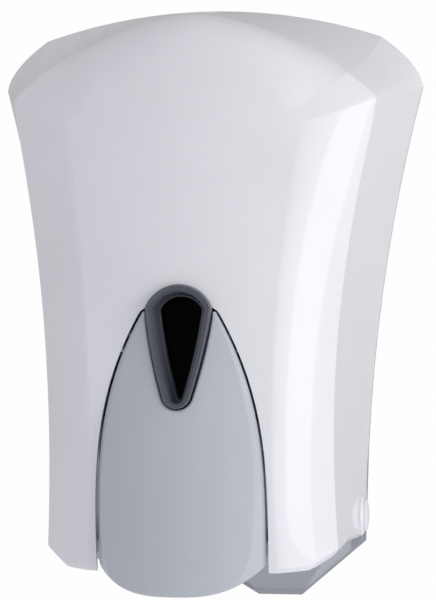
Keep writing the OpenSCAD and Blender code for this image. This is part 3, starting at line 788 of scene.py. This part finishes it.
def make_lever_inside():
    """Ears about the pivot, the nose that pushes the rocker, and its ribs."""
    grey = MATERIALS["lever_grey"]
    for side, label in ((-1, "l"), (1, "r")):
        ear = [(-82 + 3.8 * math.cos(a), -12 + 3.8 * math.sin(a)) for a in np.linspace(-1.57, 1.57, 13)]
        ear += [(-91.5, -9), (-91.5, -20)]
        ends = sorted((11.6 * side, 15 * side))
        dress(prism("lever_ear_" + label, ear, *ends, "x", grey, "lever", 0.3))
        rib = [(-100, -92), (-84, -92), (-86, -46), (-97, -46)]
        ends = sorted((3 * side, 4.8 * side))
        dress(prism("lever_rib_" + label, rib, *ends, "x", grey, "lever", 0.3))
    nose_rear = box_mm("rocker")[0][1] - 0.3
    nose = [(-101, -99), (nose_rear - 2.5, -99), (nose_rear, -98), (nose_rear, -91), (-101, -91)]
    dress(prism("lever_nose", nose, -5, 5, "x", grey, "lever", 0.4))


# ---- hinge pins, spring ----
def make_pins():
    """The two hinge pins, each with a domed head."""
    head = 61.5
    shank = [(50.6, 0.3), (50.6, 2.6), (51.0, 3), (60.3, 3), (60.3, 6.35), (60.9, 6.5), (head, 6.42)]
    dome = [(head + (HINGE_TIP - head) * math.sin(a), 6.3 * math.cos(a) + 0.1)
            for a in np.linspace(0.12, 1.55, 14)]
    for side, label in ((-1, "l"), (1, "r")):
        pin = lathe("hinge_pin_" + label, shank + dome, (0, HINGE[0], HINGE[1]), (side, 0, 0),
                    MATERIALS["pin_white"], "cover", sharp=40)
    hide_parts("hinge_pins")


def make_spring():
    """The pump's return spring, a round wire with closed ends, squashed by the plunger."""
    low, high = box_mm("return_spring")
    wire = 0.55
    radius = high[0] - wire
    bottom, top = low[2] + wire, high[2] - wire
    turns, steps, sides = 5, 300, 12
    points = []
    for i in range(steps + 1):
        t = i / steps
        # the end turns lie flat, as on a coil with closed ends
        rise = min(1, max(0, (t - 0.1) / 0.8))
        z = blend(bottom, top, rise * 0.94 + 0.06 * t)
        angle = 2 * math.pi * turns * t
        for k in range(sides):
            around = 2 * math.pi * k / sides
            r = radius + wire * math.cos(around)
            points.append((r * math.cos(angle), PUMP_Y + r * math.sin(angle), z + wire * math.sin(around)))
    faces = grid_faces(steps + 1, sides, closed=True)
    faces += [tuple(range(sides)), tuple(steps * sides + k for k in range(sides))[::-1]]
    spring = add_object("return_coil", points, faces, MATERIALS["spring_steel"], "base", 50)
    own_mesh(spring)
    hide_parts("return_spring")
    dress(spring)


# ---- carried-over CAD nodes ----
def dress_nodes():
    """Every CAD node still shown gets its slot's material, and soft edges where it is a moulding."""
    edges = {
        "base_plate": 0.5, "tank": 1.2, "tank_lid": 0.5, "pump_cradle": 0.4, "tank_clips": 0.3,
        "rocker": 0.35, "pump_nut": 0.3, "nozzle": 0.35, "lock_nut": 0.3, "lock_cam": 0.3,
        "lock_housing": 0.3, "lock_barrel": 0.2, "cradle_screws": 0.2, "piston": 0.25,
        "pump_body": 0.25, "outlet_valve": 0.15,
    }
    slots = {part["node"]: part["material_slot"] for part in frame["record"]["subparts"]}
    for name, obj in nodes.items():
        material = MATERIALS[slots[name]]
        for entry in obj.material_slots:
            entry.material = material
        if name in edges and not obj.hide_render:
            weld = obj.modifiers.new("weld", "WELD")
            weld.merge_threshold = 0.00001
            flat = obj.modifiers.new("flat", "DECIMATE")
            flat.decimate_type = "DISSOLVE"
            flat.angle_limit = math.radians(0.6)
            bevel(obj, edges[name], 3, 28)


# ---- stage ----
def make_stage():
    """A pale floor below the object, which ends where the main view would begin to see it."""
    size, level, cells = 3.2, -0.62, 12
    points = [(blend(-size, size, i / cells), blend(-size, 2.0, j / cells), level)
              for i in range(cells + 1) for j in range(cells + 1)]
    mesh = bpy.data.meshes.new("floor")
    mesh.from_pydata(points, [], grid_faces(cells + 1, cells + 1))
    pale = Shader("pale_paper", (0.90, 0.90, 0.91), 0.9)
    pale.tint(pale.noise(3, 2), 0.995, 1.005)
    mesh.materials.append(pale.material)
    floor = bpy.data.objects.new("floor", mesh)
    bpy.context.scene.collection.objects.link(floor)


def area(name, azimuth, lift, distance, size, power):
    """A rectangular soft light that faces the object from an azimuth, 0 being straight in front."""
    light = bpy.data.lights.new(name, "AREA")
    light.shape = "RECTANGLE"
    light.size, light.size_y = size
    light.energy = power
    obj = bpy.data.objects.new(name, light)
    turn = math.radians(azimuth)
    obj.location = (distance * math.sin(turn), -distance * math.cos(turn), lift)
    obj.rotation_euler = (math.pi / 2, 0, turn)
    bpy.context.scene.collection.objects.link(obj)
    return obj


def make_lights():
    """A wide key light and a strip that only shows as the tall highlight, both at the right."""
    key = area("key", 66, 0.15, 1.5, (1.1, 1.2), 9.3)
    key.visible_glossy = False
    strip = area("strip", 88, 0.15, 1.0, (0.3, 0.85), 0.95)
    strip.visible_diffuse = False
    make_world()


def make_world():
    """Even studio walls, a little dimmer above and darker to glossy surfaces, and a white backdrop."""
    world = bpy.data.worlds.new("studio")
    bpy.context.scene.world = world
    world.use_nodes = True
    tree = world.node_tree
    link = tree.links.new
    direction = tree.nodes.new("ShaderNodeTexCoord").outputs["Generated"]
    split = tree.nodes.new("ShaderNodeSeparateXYZ")
    link(direction, split.inputs["Vector"])
    height = tree.nodes.new("ShaderNodeMapRange")
    height.inputs["From Min"].default_value = -1
    link(split.outputs["Z"], height.inputs["Value"])
    walls = tree.nodes.new("ShaderNodeValToRGB")
    walls.color_ramp.elements[0].color = (0.78, 0.78, 0.82, 1)
    walls.color_ramp.elements[1].color = (0.58, 0.58, 0.64, 1)
    link(height.outputs["Result"], walls.inputs["Fac"])
    lights = []
    for color in ((1, 1, 1), (0.45, 0.45, 0.46), (0.99, 0.99, 0.99)):
        light = tree.nodes.new("ShaderNodeBackground")
        light.inputs["Color"].default_value = (*color, 1)
        lights.append(light.outputs["Background"])
    link(walls.outputs["Color"], lights[0].node.inputs["Color"])
    path = tree.nodes.new("ShaderNodeLightPath")
    shade = lights[0]
    for ray, light in (("Is Glossy Ray", lights[1]), ("Is Camera Ray", lights[2])):
        mix = tree.nodes.new("ShaderNodeMixShader")
        link(path.outputs[ray], mix.inputs["Fac"])
        link(shade, mix.inputs[1])
        link(light, mix.inputs[2])
        shade = mix.outputs["Shader"]
    link(shade, tree.nodes["World Output"].inputs["Surface"])


def make_camera():
    """The photograph's view, a little from the right."""
    data = bpy.data.cameras.new("camera")
    data.sensor_width = 36
    data.lens = 135
    camera = bpy.data.objects.new("camera", data)
    azimuth, distance = math.radians(8), 0.9
    camera.location = (distance * math.sin(azimuth), -distance * math.cos(azimuth), 0)
    right = Vector((math.cos(azimuth), math.sin(azimuth), 0))
    target = right * 0.0016
    camera.rotation_euler = (target - camera.location).to_track_quat("-Z", "Y").to_euler()
    bpy.context.scene.collection.objects.link(camera)
    bpy.context.scene.camera = camera


bpy.context.scene.view_settings.view_transform = "Standard"
make_camera()
make_cover()
make_cover_details()
make_window()
make_lever()
make_pins()
make_spring()
dress_nodes()
make_stage()
make_lights()
